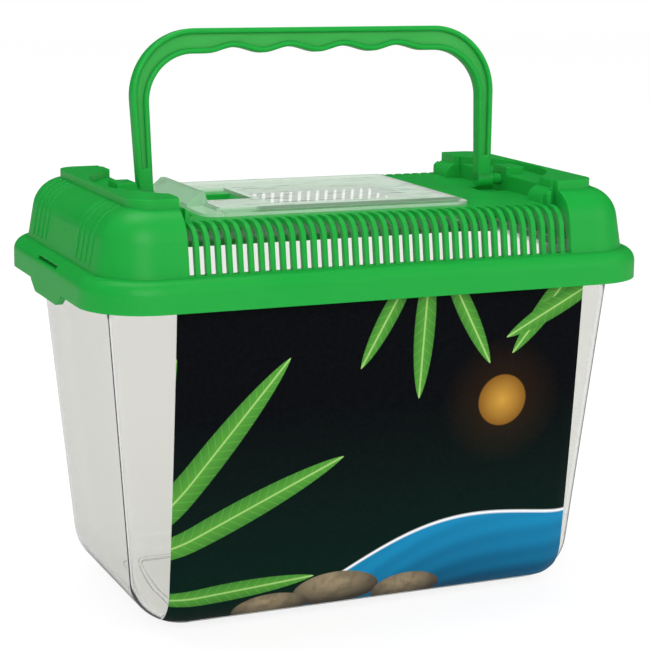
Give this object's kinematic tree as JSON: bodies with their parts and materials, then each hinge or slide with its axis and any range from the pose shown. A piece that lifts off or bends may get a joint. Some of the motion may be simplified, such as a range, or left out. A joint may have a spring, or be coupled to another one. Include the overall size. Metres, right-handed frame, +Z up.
{
  "type": "plastic pet keeper",
  "caption": "Clear tapered plastic tub with a slotted press-on lid, a clear hinged hatch, a swing handle and a printed front card, for keeping or carrying small animals.",
  "frame": {"origin": "middle of the base, on the surface the tub stands on", "axes": "+Z up, X along the long side, the front card faces -Y"},
  "size_m": [0.194, 0.116, 0.1896],
  "materials": {
    "clear_tub": "clear, glossy",
    "clear_hatch": "clear, glossy, frosted finger lip",
    "green_plastic": "semi-gloss, moulded",
    "printed_card": "thin printed sheet, satin"
  },
  "bodies": {
    "tub": {"tub": "clear_tub", "front_card": "printed_card"},
    "lid": {"lid": "green_plastic"},
    "hatch": {"hatch": "clear_hatch"},
    "handle": {"handle": "green_plastic"}
  },
  "joints": [
    {"name": "lid_lift", "type": "slide", "parent": "tub", "child": "lid", "axis": [0, 0, 1], "range_m": [0, 0.12]},
    {"name": "handle_swing", "type": "hinge", "parent": "lid", "child": "handle", "pos_m": [0, 0, 0.1363], "axis": [1, 0, 0], "range_deg": [-72, 82]},
    {"name": "hatch_hinge", "type": "hinge", "parent": "lid", "child": "hatch", "pos_m": [0.0374, 0, 0.1312], "axis": [0, 1, 0], "range_deg": [0, 26]}
  ]
}
